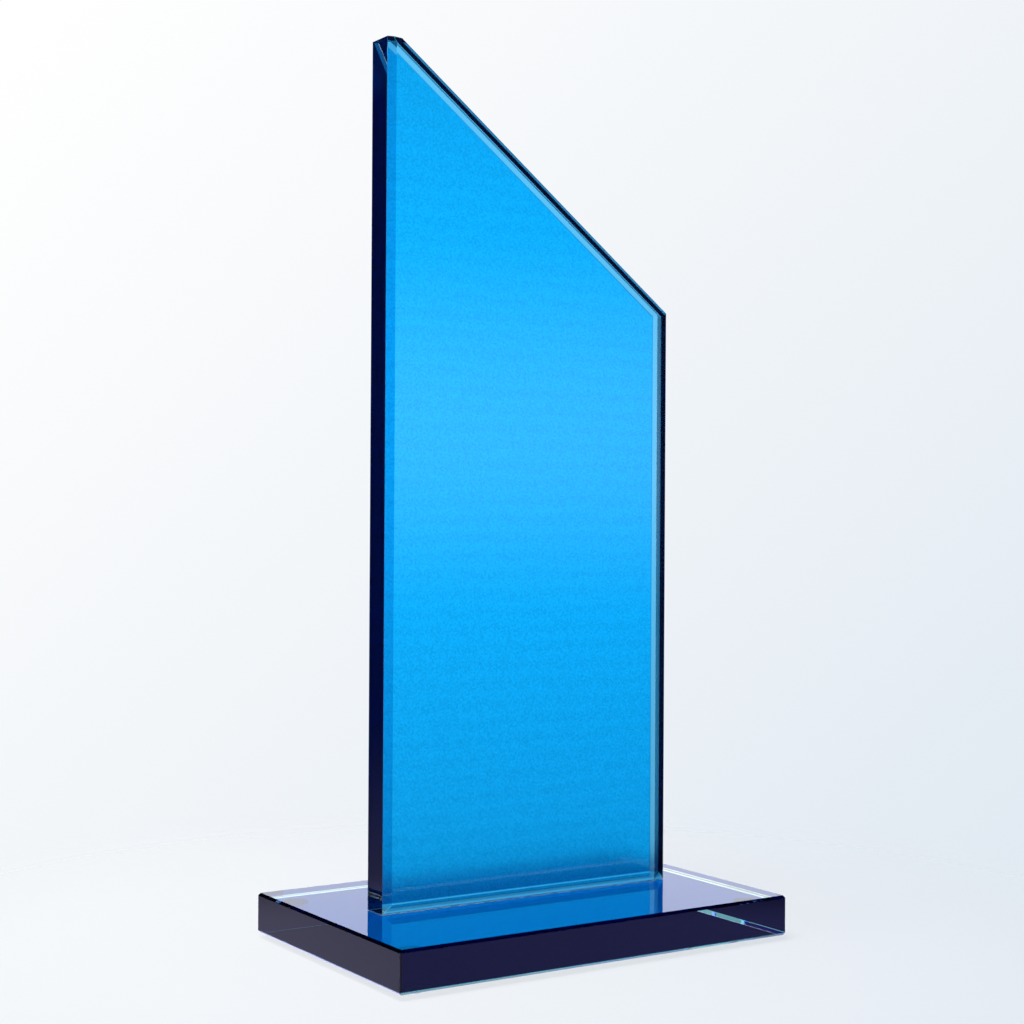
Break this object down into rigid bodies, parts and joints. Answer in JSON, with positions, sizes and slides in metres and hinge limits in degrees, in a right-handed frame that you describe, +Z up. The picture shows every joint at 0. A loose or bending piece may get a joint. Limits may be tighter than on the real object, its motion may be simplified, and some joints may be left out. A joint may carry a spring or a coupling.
{
  "type": "column trophy",
  "caption": "Upright bevelled glass plate with a slanted top and a blue-coated back, bonded on edge to a chamfered glass base plate.",
  "frame": {"origin": "centre of the base plate's footprint, on the plane of the bumpers' undersides", "axes": "+Z up, +X to the right seen from the front, +Y towards the colour-coated back"},
  "size_m": [0.134, 0.087, 0.2647],
  "materials": {
    "base_glass": "polished, chamfered edges",
    "base_coat": "dark blue lacquer seen through the glass",
    "clear_adhesive": "clear cured adhesive",
    "upright_glass": "polished, bevelled edges",
    "upright_coat": "translucent bright blue lacquer",
    "clear_bumper": "clear soft bumper"
  },
  "bodies": {
    "root": {"base_slab": "base_glass", "base_colour_coat": "base_coat", "adhesive_layer": "clear_adhesive", "upright_slab": "upright_glass", "upright_colour_coat": "upright_coat", "foot_front_left": "clear_bumper", "foot_front_right": "clear_bumper", "foot_rear_left": "clear_bumper", "foot_rear_right": "clear_bumper"}
  },
  "joints": []
}
